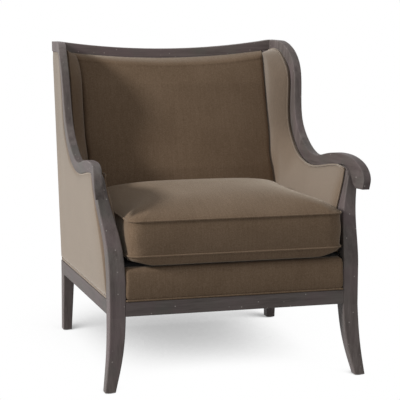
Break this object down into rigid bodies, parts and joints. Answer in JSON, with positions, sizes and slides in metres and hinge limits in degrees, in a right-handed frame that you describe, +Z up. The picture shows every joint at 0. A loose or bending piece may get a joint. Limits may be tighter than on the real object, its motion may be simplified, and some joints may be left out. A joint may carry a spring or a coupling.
{
  "type": "wingback chair",
  "caption": "Low wingback lounge chair with scrolled show-wood arms that sweep up into the wings, sabre front legs, padded back and sides, and a loose boxed seat cushion",
  "frame": {"origin": "on the floor, under the middle of the chair's overall box", "axes": "X to the right as seen from in front, Y towards the back, Z up; the sitter faces -Y"},
  "size_m": [0.8042, 0.845, 0.94],
  "materials": {
    "show_wood": "weathered grey-brown stain, satin",
    "frame_wood": "raw hardwood",
    "upholstery": "taupe plush weave",
    "foam": "seat foam with wadding",
    "webbing": "jute web",
    "lining": "black lining cloth",
    "zip_tape": "zip tape",
    "steel": "spring steel",
    "glide": "nylon glide"
  },
  "bodies": {
    "frame": {"arm_left": "show_wood", "arm_right": "show_wood", "arm_tack_rail_left": "frame_wood", "arm_tack_rail_right": "frame_wood", "back_rail": "show_wood", "back_tack_rail": "frame_wood", "back_webbing": "webbing", "border_welt": "upholstery", "corner_blocks_left": "frame_wood", "corner_blocks_right": "frame_wood", "corner_screws": "steel", "crest_rail": "show_wood", "dust_cover": "lining", "foot_glides": "glide", "front_border": "upholstery", "front_leg_left": "show_wood", "front_leg_right": "show_wood", "front_rail": "show_wood", "inside_back": "upholstery", "inside_side_left": "upholstery", "inside_side_right": "upholstery", "outside_back": "upholstery", "outside_side_left": "upholstery", "outside_side_right": "upholstery", "panel_welt_left": "upholstery", "panel_welt_right": "upholstery", "rail_dowels": "frame_wood", "rear_leg_left": "show_wood", "rear_leg_right": "show_wood", "seat_deck": "lining", "seat_springs": "steel", "show_dowels": "frame_wood", "side_rail_left": "show_wood", "side_rail_right": "show_wood", "spring_clips": "steel", "wing_left": "show_wood", "wing_right": "show_wood"},
    "cushion": {"cushion_cover": "upholstery", "cushion_core": "foam", "cushion_welt_top": "upholstery", "cushion_welt_bottom": "upholstery", "cushion_zipper": "zip_tape"}
  },
  "joints": [
    {"name": "cushion_lift", "type": "slide", "parent": "frame", "child": "cushion", "axis": [0, 0, 1], "range_m": [0, 0.3]}
  ]
}
